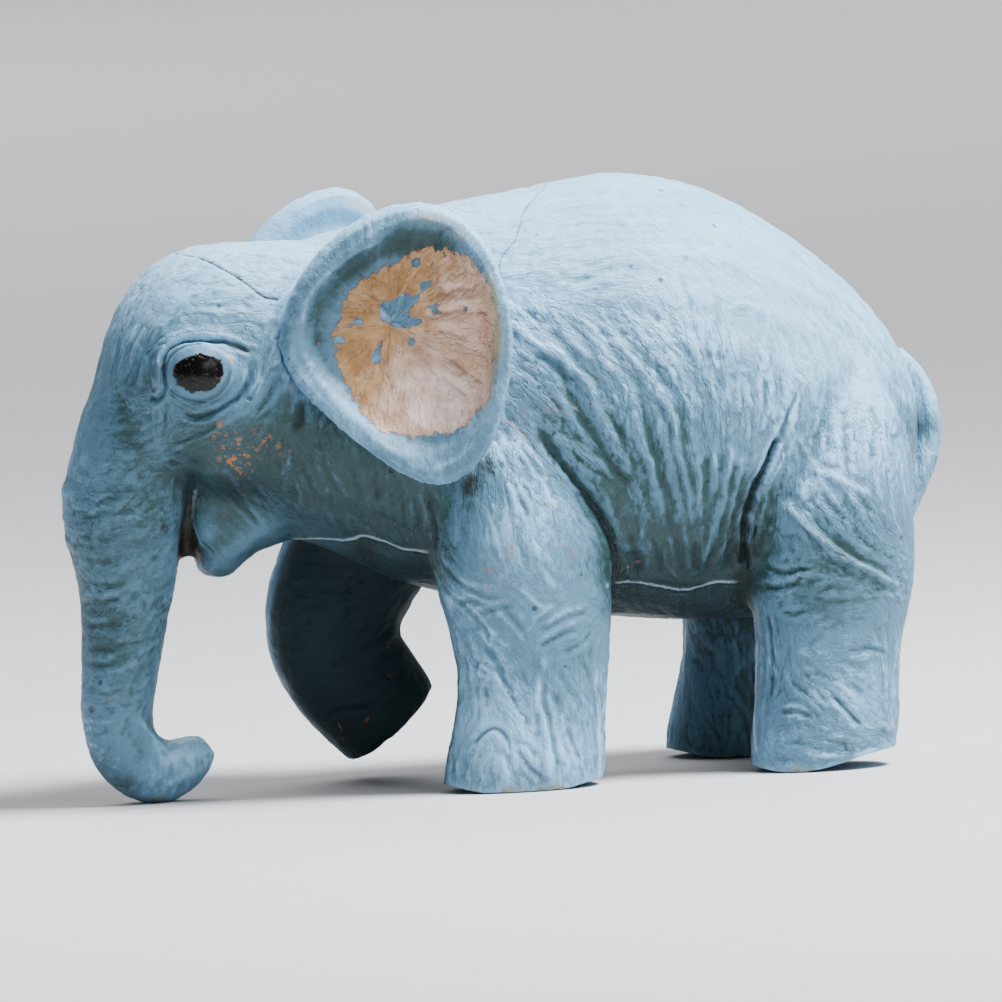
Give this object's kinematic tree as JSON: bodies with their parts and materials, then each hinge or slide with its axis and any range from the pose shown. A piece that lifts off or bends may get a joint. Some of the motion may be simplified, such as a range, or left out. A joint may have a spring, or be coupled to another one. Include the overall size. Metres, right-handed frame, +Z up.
{
  "type": "toy elephant figure",
  "caption": "Walking elephant calf toy figure with dished ears, curled hanging trunk and a raised front leg, glued up from moulded vinyl pieces.",
  "frame": {"origin": "on the ground plane, under the middle of the figure's bounding box", "axes": "+X along the body from the head to the tail, so the figure faces -X; +Z up; the figure's left side is at -Y"},
  "size_m": [0.1, 0.0466, 0.066],
  "materials": {
    "skin": "semi-matt moulded vinyl in blue-grey with a darker wash in the creases",
    "painted_ear": "blue-grey moulded vinyl with a worn salmon paint patch in the hollow face"
  },
  "bodies": {
    "root": {"torso_shell": "skin", "belly_plate": "skin", "nape_saddle": "skin", "head_and_trunk": "skin", "lower_jaw": "skin", "tail": "skin", "front_left_leg": "skin", "front_right_leg": "skin", "rear_left_leg": "skin", "rear_right_leg": "skin", "left_ear": "painted_ear", "right_ear": "painted_ear"}
  },
  "joints": []
}
